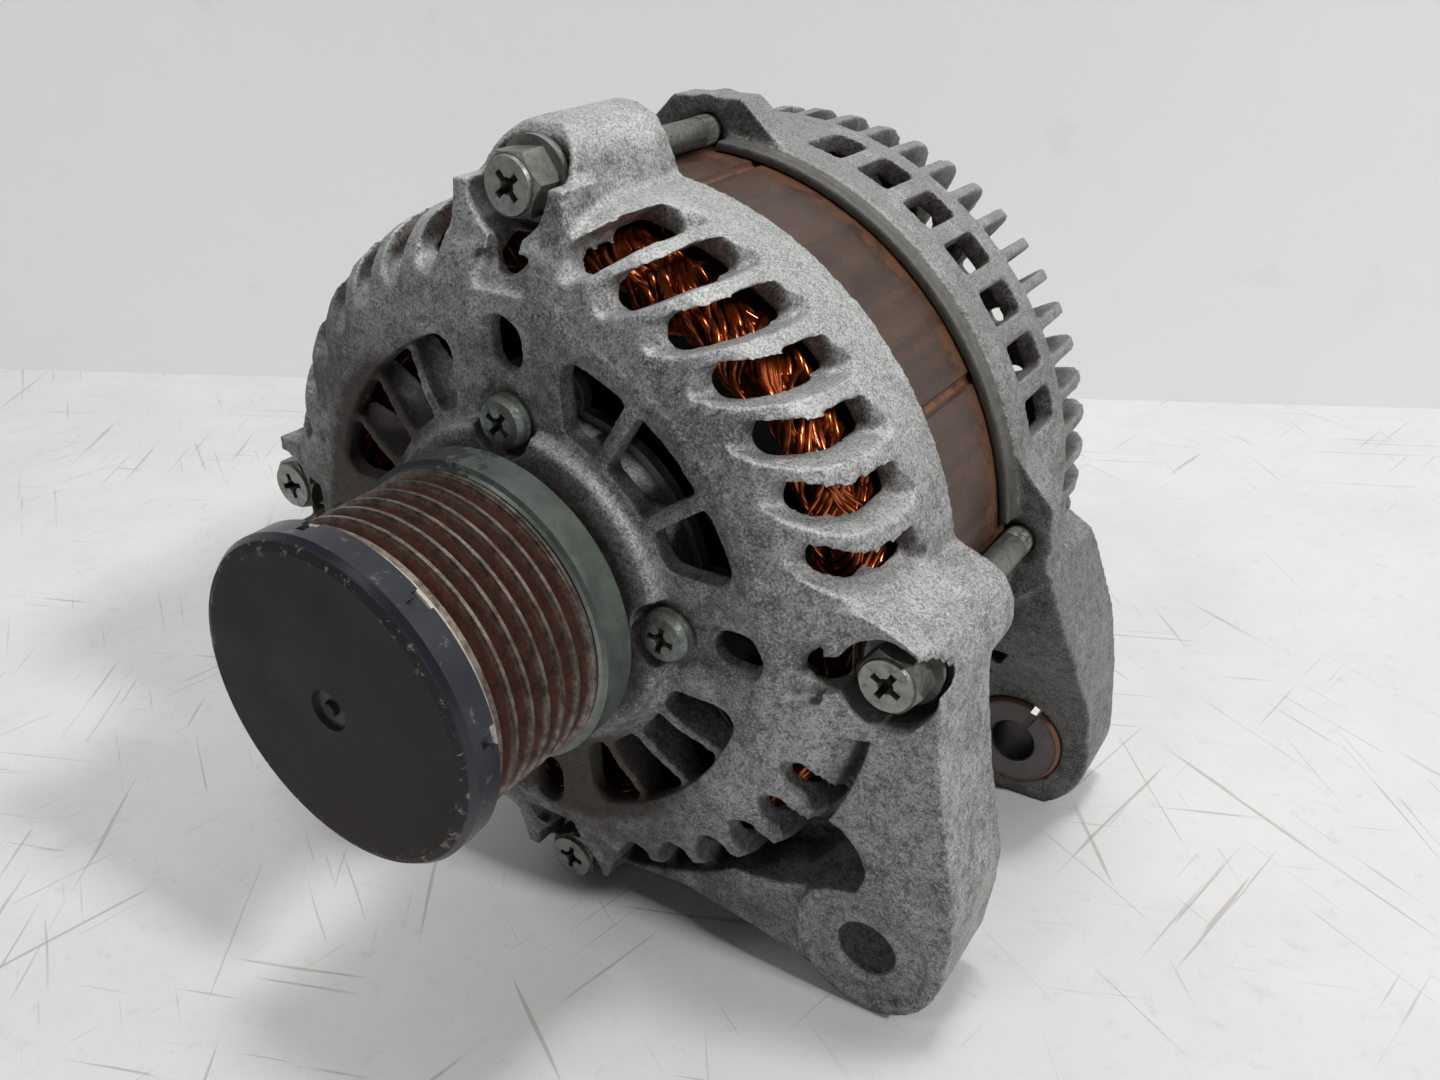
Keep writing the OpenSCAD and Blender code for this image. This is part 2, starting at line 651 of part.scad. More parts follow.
// Leg and lug of the rear bracket, cut flat underneath.
module rear_lug() difference() {
  intersection() {
    slab(24, 58) intersection() {
      union() {
        translate([lug_x, lug_z]) circle(r = 16.5, $fn = 64);
        polygon([[60, -4], [70, -2], [74.5, -6], [79.5, -26], [lug_x + 16.4, lug_z + 2],
          [lug_x - 13, lug_z + 10], [44, -49]]);
      }
      polygon([[0, -71.55], [120, -71.55], [120, 10], [0, 10]]);
    }
    // side outline of the leg, [y, z]
    along_x(20, 90) polygon([[24, 10], [24, -8], [27, -20], [33, -33], [38, -40],
      [41, -45], [41, -80], [58, -80], [58, -40], [50, -10], [40, 10]]);
  }
  ring(0, 65, 20, 60);
}

// Outline of a window in the rear wall, [y, z], with cut corners.
module rear_window2d() {
  half = rear_window_w / 2;
  length = 12;
  cut = 0.6;
  polygon([[cut, -half], [length - cut, -half], [length, cut - half], [length, half - cut],
    [length - cut, half], [cut, half], [0, half - cut], [0, cut - half]]);
}

// Wall, shoulder and end plate with their openings, the lobes and the lug.
module rear_shell() difference() {
  union() {
    turned([[stator_r + 0.05, 20.5], [66.6, 20.5], [66.6, 24], [67.5, 24], [67.5, 49],
      [66.2, 50.5], [60.5, 61], [54, 67], [48, 68.5], [18.4, 68.5], [18.4, 56.5],
      [22.5, 56.5], [23.5, 64], [47, 64], [51, 63], [57, 57.5], [63.2, 47.5],
      [63.2, stack_length], [stator_r + 0.05, stack_length]]);
    at_angles(quarters) rear_lobe();
    rear_lug();
  }
  // windows in the wall
  at_angles(quarter_rows(9.2, 3)) along_x(60, 12, y = 32) rear_window2d();
  // openings in the shoulder
  at_angles(quarter_rows(12.6, 2))
    fin(6.2, [[50.5, 75], [50.5, 60], [58, 52.5], [75, 52.5], [75, 75]]);
  // air holes in the end plate
  slab(60, 70) for (angle = quarter_rows(13, 2)) rotate(angle) {
    translate([30, -2.6]) square([14, 5.2]);
    for (x = [30, 44]) translate([x, 0]) circle(r = 2.6, $fn = 24);
  }
}

module rear_bracket() color(cast_aluminium) place() difference() {
  union() {
    rear_shell();
    // axial fins on the shoulder
    at_angles(spread(56, 3.2))
      fin(fin_t, [[46, 66.5], [50, 62], [56, 57.5], [61.5, 49], [67, 49], [66.8, 60],
        [65.8, 65], [63.5, 68.5], [60, 69.8], [52, 69.8], [45, 67.9]]);
    // closed bearing seat
    turned([[0, 68.5], [24, 68.5], [24, 69], [22, 71], [0, 71]]);
    // bosses for the rear screws
    on_circle(rear_screw_circle_r, rear_screw_angles) rod(4.5, 60, 68.5, $fn = 32);
  }
  // stepped holes of the through-bolts
  on_circle(bolt_circle_r, quarters) {
    rod(4.3, 18, 24.5, $fn = 48);
    rod(2.85, 18, 38, $fn = 48);
  }
  at_lug() rod(bush_seat_r, 30, 70);
  // screw holes, stud hole and plug opening
  on_circle(rear_screw_circle_r, rear_screw_angles) rod(2.1, 55, 75, $fn = 32);
  at_stud() rod(6.5, 55, 75, $fn = 48);
  centred_block(60, 24.5, [32, 20, 16]);
}

module split_bush() color([0.5, 0.48, 0.45]) place() at_lug() difference() {
  turned([[bush_bore_r + 0.6, 40.3], [9.9, 40.3], [10.5, 40.9], [10.5, 57.6], [10.1, 58],
    [bush_bore_r, 58], [bush_bore_r, 40.9]]);
  turn(64) radial_block([0, 39], [14, 22, 1.8]);
}

// ---------------------------------------------------------------- rectifier

module negative_heat_sink() color([0.7, 0.7, 0.7]) place() difference() {
  arc_plate(27, 46.8, 140, 400, 61, 64);
  on_circle(rear_screw_circle_r, rear_screw_angles) rod(4.6, 55, 75, $fn = 32);
  at_stud() rod(7.5, 55, 75, $fn = 32);
}

module positive_heat_sink() color([0.72, 0.72, 0.72]) place() {
  difference() {
    arc_plate(26, 51, 160, 380, 49.5, 51.5);
    at_stud() rod(3, 45, 65, $fn = 32);
    on_circle(rear_screw_circle_r, lower_screw_angles) rod(2.1, 45, 65, $fn = 32);
  }
  // short fins along the inner edge
  at_angles([188:11.5:372.5]) fin(1.4, [[26.5, 48], [33, 48], [33, 49.6], [26.5, 49.6]]);
}

// Pairs of diodes facing each other, each with its wire.
module diodes() color([0.4, 0.4, 0.42]) place()
  on_circle(39, [190, 230, 250, 290, 310, 350]) {
    rod(4, 51.5, 53.7, $fn = 32);
    rod(0.7, 53.7, 56, $fn = 16);
    rod(4, 58.8, 61, $fn = 32);
    rod(0.7, 57, 59, $fn = 16);
  }

module terminal_block() color([0.15, 0.15, 0.14]) place() difference() {
  union() {
    arc_plate(34, 46, 188.5, 351.5, 56, 57);
    on_circle(rear_screw_circle_r, lower_screw_angles) rod(4.4, 51.5, 60, $fn = 32);
  }
  on_circle(rear_screw_circle_r, lower_screw_angles) rod(2.1, 50, 62, $fn = 32);
}

// ---------------------------------------------------------------- regulator and brushes

module voltage_regulator() color([0.13, 0.13, 0.13]) place() difference() {
  union() {
    centred_block(57.2, 24.2, [50, 2.8, 22.4]);
    // screw tabs
    for (x = [-29.2, 29.2]) centred_block(57.2, 17, [12.8, 2.8, 14], x = x);
    // ribs on the front side
    for (k = [0:8]) centred_block(55.4, 32.6, [2, 2, 12], x = -20 + 5 * k);
  }
  on_circle(rear_screw_circle_r, upper_screw_angles) rod(2.1, 50, 70, $fn = 32);
}

module brush_holder() color([0.17, 0.12, 0.1]) place() difference() {
  union() {
    centred_block(45.6, 10, [14, 10.8, 22]);
    centred_block(55.2, 22.8, [28, 2, 9]);
  }
  for (y = slip_ring_y) centred_block(y + 0.4, 9, [6.2, 3.2, brush_slot_end_z - 9]);
}

// Brush over the slip ring that starts at y.
module brush(y) centred_block(y + 0.45, brush_start_z, [6.1, 3.1, brush_length]);
module brush_front() color(brush_carbon) place() brush(slip_ring_y[0]);
module brush_rear() color(brush_carbon) place() brush(slip_ring_y[1]);

// Brush spring: stacked turns joined by a side strip.
module spring(y) translate([0, y + slip_ring_w / 2, 0]) {
  pitch = (brush_slot_end_z - spring_wire - brush_end_z) / (spring_turns - 1);
  for (k = [0:spring_turns - 1]) translate([0, 0, brush_end_z + k * pitch]) difference() {
    cylinder(r = 1.4, h = spring_wire, $fn = 32);
    translate([0, 0, -1]) cylinder(r = 0.9, h = 3, $fn = 32);
  }
  translate([1.05, -0.2, 20.3]) cube([0.2, 0.4, 9.6]);
}
module spring_front() color(spring_steel) place() spring(slip_ring_y[0]);
module spring_rear() color(spring_steel) place() spring(slip_ring_y[1]);

// ---------------------------------------------------------------- rear hardware

// The two lower screws reach further forward than the upper two.
module rear_screws() color(zinc_plate) place()
  for (angle = rear_screw_angles) on_circle(rear_screw_circle_r, [angle]) difference() {
    union() {
      rod(2.05, angle > 180 ? 48.5 : 56.5, 68.6);
      turned([[0, 68.5], [4.2, 68.5], [4.2, 70.4], [3.4, 71.4], [0, 71.6]]);
    }
    translate([0, 71.6, 0]) mirror([0, 1, 0]) cross_recess(2.1, 1.6);
  }

module output_stud() color(zinc_plate) place() at_stud() {
  rod(2.7, 49.5, 79);
  rod(3, 78.4, 92);
  rod(5.2, 51.5, 55, $fn = 6);
}

module output_insulator() color([0.12, 0.12, 0.12]) place() at_stud()
  turned([[3, 55], [5.9, 55], [5.9, 65.6], [6.4, 66], [6.4, 69.8], [9.5, 69.8], [9.5, 73],
    [3, 73]]);

module output_nut() color([0.62, 0.62, 0.58]) place() at_stud() difference() {
  union() {
    rod(6.93, 73, 78, $fn = 6);
    rod(7.4, 73, 74.2);
  }
  rod(2.7, 70, 82);
}

module plug_socket() color([0.14, 0.14, 0.15]) place() difference() {
  union() {
    centred_block(60, 25, [31, 20.3, 15]);
    centred_block(74, 40, [8, 5, 2]);
  }
  centred_block(66, 27, [27, 20, 11]);
}

module plug_pins() color([0.75, 0.7, 0.5]) place()
  for (x = [-9, -3, 3, 9]) centred_block(66, 31.2, [0.8, 10, 2.6], x = x);

// ---------------------------------------------------------------- nodes

pulley_cap();
pulley_ring();
pulley_hub();
pulley_flange();
clutch_rollers();
pulley_bearings();
rotor_shaft();
spacer_collar();
claw_pole_front();
claw_pole_rear();
field_coil();
coil_bobbin();
front_fan();
rear_fan();
slip_rings();
front_bearing_inner();
front_bearing_outer();
front_bearing_balls();
front_bearing_cage();
rear_bearing_inner();
rear_bearing_outer();
rear_bearing_balls();
rear_bearing_cage();
rear_bearing_sleeve();
bearing_retainer();
retainer_screws();
front_bracket();
rear_bracket();
stator_core();
stator_winding();
slot_insulation();
winding_shield();
through_bolts();
positive_heat_sink();
negative_heat_sink();
diodes();
terminal_block();
voltage_regulator();
brush_holder();
brush_front();
brush_rear();
spring_front();
spring_rear();
rear_screws();
output_stud();
output_nut();
output_insulator();
plug_socket();
plug_pins();
split_bush();
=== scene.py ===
import bpy, bmesh, math, random
import numpy as np
from mathutils import Vector, Matrix, noise as mnoise


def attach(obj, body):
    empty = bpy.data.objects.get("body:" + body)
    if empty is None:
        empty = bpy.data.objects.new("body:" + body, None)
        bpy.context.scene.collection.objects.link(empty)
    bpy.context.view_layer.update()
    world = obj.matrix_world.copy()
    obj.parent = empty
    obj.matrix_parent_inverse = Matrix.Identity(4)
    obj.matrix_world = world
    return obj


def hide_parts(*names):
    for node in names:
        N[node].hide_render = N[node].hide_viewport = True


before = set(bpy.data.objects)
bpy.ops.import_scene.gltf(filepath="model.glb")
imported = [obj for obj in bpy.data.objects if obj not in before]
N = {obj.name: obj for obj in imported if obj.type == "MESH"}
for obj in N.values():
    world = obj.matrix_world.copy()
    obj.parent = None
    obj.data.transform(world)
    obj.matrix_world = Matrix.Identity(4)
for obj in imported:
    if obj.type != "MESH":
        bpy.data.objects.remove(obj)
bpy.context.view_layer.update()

MM = 0.001
Y0 = 60.5  # rim plane of the front bracket, from the origin, in mm


# ------------------------------------------------------------------ node helpers
class Mat:
    """A material under construction. Every socket value is a link or a number."""

    def __init__(self, name):
        self.m = bpy.data.materials.new(name)
        self.m.use_nodes = True
        self.t = self.m.node_tree
        self.t.nodes.clear()
        self.out = self.t.nodes.new("ShaderNodeOutputMaterial")
        self.b = self.t.nodes.new("ShaderNodeBsdfPrincipled")
        self.t.links.new(self.b.outputs[0], self.out.inputs[0])
        tc = self.t.nodes.new("ShaderNodeTexCoord")
        sc = self.t.nodes.new("ShaderNodeVectorMath")
        sc.operation = "SCALE"
        sc.inputs["Scale"].default_value = 1000.0
        self.t.links.new(tc.outputs["Object"], sc.inputs[0])
        self.mm = sc.outputs[0]
        self._polar = None
        self.height = None

    def put(self, sock, v):
        if v is None:
            return
        if isinstance(v, bpy.types.NodeSocket):
            self.t.links.new(v, sock)
        elif isinstance(v, (tuple, list)):
            if sock.type == "RGBA" and len(v) == 3:
                v = (*v, 1.0)
            sock.default_value = v
        else:
            if sock.type == "RGBA":
                v = (v, v, v, 1.0)
            elif sock.type == "VECTOR":
                v = (v, v, v)
            sock.default_value = v

    def math(self, op, a, b=None, c=None, clamp=False):
        n = self.t.nodes.new("ShaderNodeMath")
        n.operation = op
        n.use_clamp = clamp
        self.put(n.inputs[0], a)
        self.put(n.inputs[1], b)
        self.put(n.inputs[2], c)
        return n.outputs[0]

    def add(self, a, b): return self.math("ADD", a, b)
    def sub(self, a, b): return self.math("SUBTRACT", a, b)
    def mul(self, a, b): return self.math("MULTIPLY", a, b)

    def scalev(self, vec, s):
        n = self.t.nodes.new("ShaderNodeVectorMath")
        n.operation = "MULTIPLY"
        self.put(n.inputs[0], vec)
        n.inputs[1].default_value = s
        return n.outputs[0]

    def noise(self, scale, detail=4, rough=0.55, vec=None, dist=0.0, kind="FBM", off=0.0):
        n = self.t.nodes.new("ShaderNodeTexNoise")
        v = vec or self.mm
        if off:
            a = self.t.nodes.new("ShaderNodeVectorMath")
            a.operation = "ADD"
            self.put(a.inputs[0], v)
            a.inputs[1].default_value = (off, off * 1.7, -off)
            v = a.outputs[0]
        self.put(n.inputs["Vector"], v)
        n.inputs["Scale"].default_value = scale
        n.inputs["Detail"].default_value = detail
        n.inputs["Roughness"].default_value = rough
        n.inputs["Distortion"].default_value = dist
        return n.outputs["Fac"]

    def voronoi(self, scale, vec=None, feature="F1", out="Distance", rand=1.0):
        n = self.t.nodes.new("ShaderNodeTexVoronoi")
        n.feature = feature
        self.put(n.inputs["Vector"], vec or self.mm)
        n.inputs["Scale"].default_value = scale
        n.inputs["Randomness"].default_value = rand
        return n.outputs[out]

    def ramp(self, fac, *stops, mode="LINEAR"):
        n = self.t.nodes.new("ShaderNodeValToRGB")
        n.color_ramp.interpolation = mode
        e = n.color_ramp.elements
        while len(e) < len(stops):
            e.new(0.5)
        for el, (p, c) in zip(e, stops):
            el.position = p
            el.color = (c, c, c, 1) if not isinstance(c, (tuple, list)) else (*c, 1)
        self.put(n.inputs[0], fac)
        return n.outputs[0]

    def step(self, fac, a, b):
        """0 below a, 1 above b, smooth between (a may be above b)."""
        n = self.t.nodes.new("ShaderNodeMapRange")
        n.interpolation_type = "SMOOTHSTEP"
        lo, hi = (a, b) if a < b else (b, a)
        self.put(n.inputs["Value"], fac)
        n.inputs["From Min"].default_value = lo
        n.inputs["From Max"].default_value = hi
        n.inputs["To Min"].default_value = 0.0 if a < b else 1.0
        n.inputs["To Max"].default_value = 1.0 if a < b else 0.0
        return n.outputs["Result"]

    def mix(self, fac, a, b, mode="MIX"):
        n = self.t.nodes.new("ShaderNodeMix")
        n.data_type = "RGBA"
        n.blend_type = mode
        n.clamp_factor = True
        self.put(n.inputs["Factor"], fac)
        self.put(n.inputs["A"], None)
        self.put(n.inputs[6], a)
        self.put(n.inputs[7], b)
        return n.outputs[2]

    def mixf(self, fac, a, b):
        n = self.t.nodes.new("ShaderNodeMix")
        n.data_type = "FLOAT"
        self.put(n.inputs[0], fac)
        self.put(n.inputs[2], a)
        self.put(n.inputs[3], b)
        return n.outputs[0]

    def xyz(self):
        n = self.t.nodes.new("ShaderNodeSeparateXYZ")
        self.t.links.new(self.mm, n.inputs[0])
        return n.outputs

    def polar(self):
        """(angle in degrees from +X to +Z, radius in mm, y in mm from the rim plane)"""
        if self._polar is None:
            x, y, z = self.xyz()
            ang = self.mul(self.math("ARCTAN2", z, x), 57.29578)
            rad = self.math("SQRT", self.add(self.mul(x, x), self.mul(z, z)))
            self._polar = (ang, rad, self.sub(y, Y0))
        return self._polar

    def polar_vec(self, sa=1.0, sr=1.0, sy=1.0):
        a, r, y = self.polar()
        n = self.t.nodes.new("ShaderNodeCombineXYZ")
        self.put(n.inputs[0], self.mul(a, sa))
        self.put(n.inputs[1], self.mul(r, sr))
        self.put(n.inputs[2], self.mul(y, sy))
        return n.outputs[0]

    def ao(self, dist, samples=6, inside=False):
        n = self.t.nodes.new("ShaderNodeAmbientOcclusion")
        n.samples = samples
        n.inside = inside
        n.only_local = False
        n.inputs["Distance"].default_value = dist * MM
        return n.outputs["AO"]

    def point(self):
        n = self.t.nodes.new("ShaderNodeNewGeometry")
        return n.outputs["Pointiness"]

    def normal_z(self, axis=2):
        n = self.t.nodes.new("ShaderNodeNewGeometry")
        s = self.t.nodes.new("ShaderNodeSeparateXYZ")
        self.t.links.new(n.outputs["True Normal"], s.inputs[0])
        return s.outputs[axis]

    def bump(self, height, dist_mm, strength=1.0):
        n = self.t.nodes.new("ShaderNodeBump")
        n.inputs["Strength"].default_value = strength
        n.inputs["Distance"].default_value = dist_mm * MM
        self.put(n.inputs["Height"], height)
        if self.height is not None:
            self.t.links.new(self.height, n.inputs["Normal"])
        self.height = n.outputs[0]
        self.t.links.new(self.height, self.b.inputs["Normal"])

    def done(self, color=None, rough=None, metal=None, **kw):
        self.put(self.b.inputs["Base Color"], color)
        self.put(self.b.inputs["Roughness"], rough)
        self.put(self.b.inputs["Metallic"], metal)
        for k, v in kw.items():
            self.put(self.b.inputs[k.replace("_", " ")], v)
        return self.m


def paint(obj, m):
    obj.data.materials.clear()
    obj.data.materials.append(m)
    for p in obj.data.polygons:
        p.material_index = 0


# ------------------------------------------------------------------ materials
def mat_cast(name, dark=0.0, seed=0.0, spigot=False, tone=1.0):
    """Die-cast aluminium: oxidised grey, fine sparkling grain, white bloom, grime in the recesses; the recesses and
    the lower left also carry painted shade, and the upward faces painted light.
    """
    m = Mat(name)
    a, r, y = m.polar()
    x, yy, z = m.xyz()
    big = m.noise(0.035, 4, 0.6, off=seed)
    mid = m.noise(0.55, 5, 0.62, off=seed + 3)
    fine = m.noise(2.4, 4, 0.7, off=seed + 7)
    cell = m.voronoi(2.3, out="Color")
    sep = m.t.nodes.new("ShaderNodeSeparateColor")
    m.put(sep.inputs[0], cell)
    rnd, rnd2 = sep.outputs[0], sep.outputs[1]
    blot = m.noise(0.13, 5, 0.65, off=seed + 13)
    base = m.mix(m.step(big, 0.35, 0.66), (0.18, 0.184, 0.18), (0.27, 0.273, 0.268))
    base = m.mix(m.mul(m.step(blot, 0.50, 0.66), 0.6), base, (0.36, 0.37, 0.37))
    base = m.mix(m.mul(m.step(blot, 0.49, 0.34), 0.75), base, (0.085, 0.083, 0.078))
    base = m.mix(m.mul(m.step(mid, 0.48, 0.68), 0.5), base, (0.38, 0.385, 0.385))
    base = m.mix(m.mul(m.step(mid, 0.48, 0.34), 0.7), base, (0.075, 0.074, 0.07))
    base = m.mix(m.mul(m.step(fine, 0.51, 0.64), 0.6), base, (0.46, 0.465, 0.465))
    base = m.mix(m.mul(m.step(fine, 0.48, 0.37), 0.7), base, (0.05, 0.05, 0.047))
    # bright and dark grains
    spark = m.mul(m.step(rnd, 0.90, 0.97), m.step(fine, 0.42, 0.58))
    base = m.mix(m.mul(spark, 0.5), base, (0.50, 0.51, 0.51))
    base = m.mix(m.mul(m.step(rnd2, 0.25, 0.08), 0.45), base, (0.055, 0.055, 0.053))
    # upward faces lightened towards the top: partly dust, partly painted light from above
    geo = m.t.nodes.new("ShaderNodeNewGeometry")
    nsep = m.t.nodes.new("ShaderNodeSeparateXYZ")
    m.put(nsep.inputs[0], geo.outputs["Normal"])
    dust_and_top_light = m.mul(m.step(nsep.outputs[2], 0.15, 0.85), m.step(z, -35.0, 45.0))
    base = m.mix(m.mul(dust_and_top_light, m.mixf(m.step(fine, 0.42, 0.6), 0.25, 0.8)), base, (0.50, 0.505, 0.50))
    if tone != 1.0:
        base = m.mix(1.0 - tone, base, (0.030, 0.026, 0.022))
    # worn edges
    pt = m.point()
    edge = m.mul(m.step(pt, 0.53, 0.62), m.step(m.noise(0.5, 4, off=seed + 5), 0.36, 0.6))
    base = m.mix(m.mul(edge, 0.3), base, (0.46, 0.465, 0.455))
    # white bloom, strongest near the top
    bloom = m.mul(m.step(m.noise(0.10, 6, 0.68, off=seed + 20), 0.52, 0.66), m.step(fine, 0.40, 0.6))
    bloom = m.mul(bloom, m.mixf(m.step(z, -20.0, 35.0), 0.35, 1.0))
    base = m.mix(m.mul(bloom, 0.5), base, (0.52, 0.55, 0.57))
    # grime in recesses, inside the windows and on the lower left; the ambient-occlusion darkening in the recesses is
    # painted shade as well as grime
    occ = m.ao(6.0, 3)
    inner = m.mul(m.step(r, 50.0, 45.5), m.step(r, 29.0, 33.0))
    # lower left side, away from the key light: its darkening is painted shade as well as soot and grime
    left = m.step(m.sub(m.mul(x, -1.0), m.mul(z, 0.8)), -16.0, 22.0)
    dn = m.noise(0.22, 5, 0.65, off=seed + 31)
    grime_and_shade = m.add(m.step(occ, 0.62, 0.15), m.mul(m.step(occ, 0.95, 0.5), m.mul(m.step(dn, 0.40, 0.62), 0.9)))
    # stains on the spokes, heavier on the lower left, where they also paint shade
    wet = m.mul(m.mul(inner, m.step(y, -24.0, -27.0)), m.mixf(left, m.mul(m.step(dn, 0.45, 0.66), 0.45), m.step(dn, 0.18, 0.45)))
    grime_and_shade = m.math("ADD", grime_and_shade, wet, clamp=True)
    lower_left_soot_and_shade = m.mul(m.mul(left, 0.75), m.step(m.noise(0.09, 5, 0.7, off=seed + 61), 0.34, 0.60))
    grime_and_shade = m.math("ADD", grime_and_shade, lower_left_soot_and_shade, clamp=True)
    grime_and_shade_col = m.mix(m.noise(0.6, 4, off=seed + 41), (0.020, 0.018, 0.016), (0.085, 0.065, 0.045))
    tan = m.mul(m.step(m.noise(0.16, 5, 0.7, off=seed + 51), 0.60, 0.70), m.step(z, 20.0, -40.0))
    base = m.mix(m.mul(tan, 0.45), base, (0.21, 0.155, 0.105))
    # recesses and the lower left darkened: grime together with painted shade
    base = m.mix(m.mul(grime_and_shade, 0.9), base, grime_and_shade_col)
    if spigot:
        band = m.mul(m.step(r, 67.05, 66.85), m.step(y, 24.6, 24.2))
        base = m.mix(m.mul(band, 0.8), base, m.mix(mid, (0.045, 0.045, 0.038), (0.10, 0.098, 0.082)))
    if dark:
        base = m.mix(dark, base, (0.05, 0.045, 0.04))
    gain = m.t.nodes.new("ShaderNodeHueSaturation")
    gain.inputs["Value"].default_value = 1.25
    m.put(gain.inputs["Color"], base)
    base = gain.outputs["Color"]
    rough = m.mixf(grime_and_shade, m.mixf(fine, 0.40, 0.62), 0.85)
    metal = m.mixf(grime_and_shade, m.mixf(bloom, 0.55, 0.15), 0.0)
    m.bump(rnd, 0.05, 0.35)
    m.bump(fine, 0.22, 0.6)
    m.bump(mid, 0.5, 0.3)
    return m.done(base, rough, metal)


def mat_zinc(name, tint=(0.30, 0.31, 0.28), yellow=(0.22, 0.185, 0.10), grime=0.8, rough0=0.30, seed=0.0):
    """Zinc plating gone dull: yellowish stains, brown grime in every corner, where ambient occlusion also paints
    shade.
    """
    m = Mat(name)
    n1 = m.noise(0.35, 5, 0.6, off=seed)
    n2 = m.noise(2.2, 4, 0.65, off=seed + 4)
    c = m.mix(m.step(n1, 0.38, 0.64), tint, tuple(x * 1.3 for x in tint))
    c = m.mix(m.mul(m.step(n1, 0.50, 0.66), 0.6), c, yellow)
    c = m.mix(m.mul(m.step(n2, 0.52, 0.66), 0.6), c, tuple(x * 0.35 for x in tint))
    # corners darkened by ambient occlusion: painted shade, with noisy grime on top
    occ = m.ao(2.5, 3)
    d = m.math("ADD", m.step(occ, 0.85, 0.35), m.mul(m.step(m.noise(0.8, 5, 0.7, off=seed + 9), 0.50, 0.66), 0.8), clamp=True)
    c = m.mix(m.mul(d, grime), c, (0.045, 0.036, 0.024))
    e = m.step(m.point(), 0.52, 0.6)
    c = m.mix(m.mul(e, 0.45), c, (0.62, 0.62, 0.57))
    m.bump(n2, 0.08, 0.6)
    return m.done(c, m.mixf(d, m.mixf(n2, rough0, rough0 + 0.22), 0.75), m.mixf(d, 0.9, 0.1))


def mat_flange(name):
    """Grey-green plated ring with a patch of black grime at its upper left."""
    m = Mat(name)
    a, r, y = m.polar()
    n1 = m.noise(0.25, 5, 0.6)
    n2 = m.noise(1.6, 4, 0.65)
    c = m.mix(m.step(n1, 0.35, 0.68), (0.145, 0.17, 0.15), (0.215, 0.245, 0.215))
    c = m.mix(m.mul(m.step(n2, 0.56, 0.70), 0.5), c, (0.07, 0.07, 0.055))
    n3 = m.noise(0.30, 5, 0.75, vec=m.polar_vec(0.5, 1.0, 1.0))
    ang = m.math("ABSOLUTE", m.sub(a, 118.0))
    patch = m.step(m.sub(ang, m.mul(m.sub(n3, 0.5), 90.0)), 34.0, 24.0)
    c = m.mix(m.mul(patch, 0.93), c, (0.018, 0.019, 0.022))
    spots = m.step(m.voronoi(0.42), 0.10, 0.06)
    c = m.mix(m.mul(spots, 0.7), c, (0.10, 0.07, 0.045))
    m.bump(n2, 0.05, 0.5)
    return m.done(c, m.mixf(patch, m.mixf(n2, 0.28, 0.46), 0.6), m.mixf(patch, 0.65, 0.1))


def mat_steel(name, col=(0.45, 0.45, 0.46), rough0=0.28, rust=0.15, seed=0.0):
    m = Mat(name)
    n1 = m.noise(0.4, 5, 0.6, off=seed)
    n2 = m.noise(3.0, 4, 0.6, off=seed + 4, vec=m.polar_vec(0.05, 1.0, 3.0))
    c = m.mix(n1, tuple(x * 0.8 for x in col), tuple(x * 1.15 for x in col))
    rs = m.mul(m.step(m.noise(0.5, 6, 0.7, off=seed + 8), 0.5, 0.66), rust * 3)
    c = m.mix(rs, c, (0.17, 0.075, 0.03))
    m.bump(n2, 0.03, 0.6)
    return m.done(c, m.mixf(rs, m.mixf(n2, rough0, rough0 + 0.18), 0.8), m.mixf(rs, 0.95, 0.1))


def mat_pulley(name):
    m = Mat(name)
    a, r, y = m.polar()
    nz = m.noise(0.5, 6, 0.7, vec=m.polar_vec(0.35, 1, 1))
    nz2 = m.noise(2.2, 5, 0.7)
    nz3 = m.noise(0.12, 4, 0.6)
    rust = m.mix(m.step(nz, 0.3, 0.7), (0.050, 0.019, 0.014), (0.135, 0.050, 0.033))
    rust = m.mix(m.mul(m.step(nz2, 0.5, 0.7), 0.6), rust, (0.20, 0.09, 0.055))
    rust = m.mix(m.mul(m.step(nz3, 0.5, 0.72), 0.5), rust, (0.06, 0.03, 0.024))
    crest = m.step(r, 25.2, 25.9)
    wear = m.mul(crest, m.mixf(m.step(nz2, 0.25, 0.55), 0.5, 1.0))
    steel = m.mix(m.step(nz, 0.35, 0.65), (0.10, 0.075, 0.06), (0.30, 0.26, 0.22))
    c = m.mix(wear, rust, steel)
    zone = m.mul(m.step(y, -71.9, -72.2), m.step(r, 25.0, 25.8))
    zincn = m.mix(m.step(nz, 0.4, 0.65), (0.55, 0.55, 0.48), (0.40, 0.38, 0.27))
    c = m.mix(zone, c, zincn)
    m.bump(nz2, 0.10, 0.6)
    m.bump(m.noise(8.0, 2), 0.03, 0.6)
    bright = m.math("MAXIMUM", wear, zone)
    return m.done(c, m.mixf(bright, 0.72, 0.34), m.mixf(bright, 0.12, 0.85))


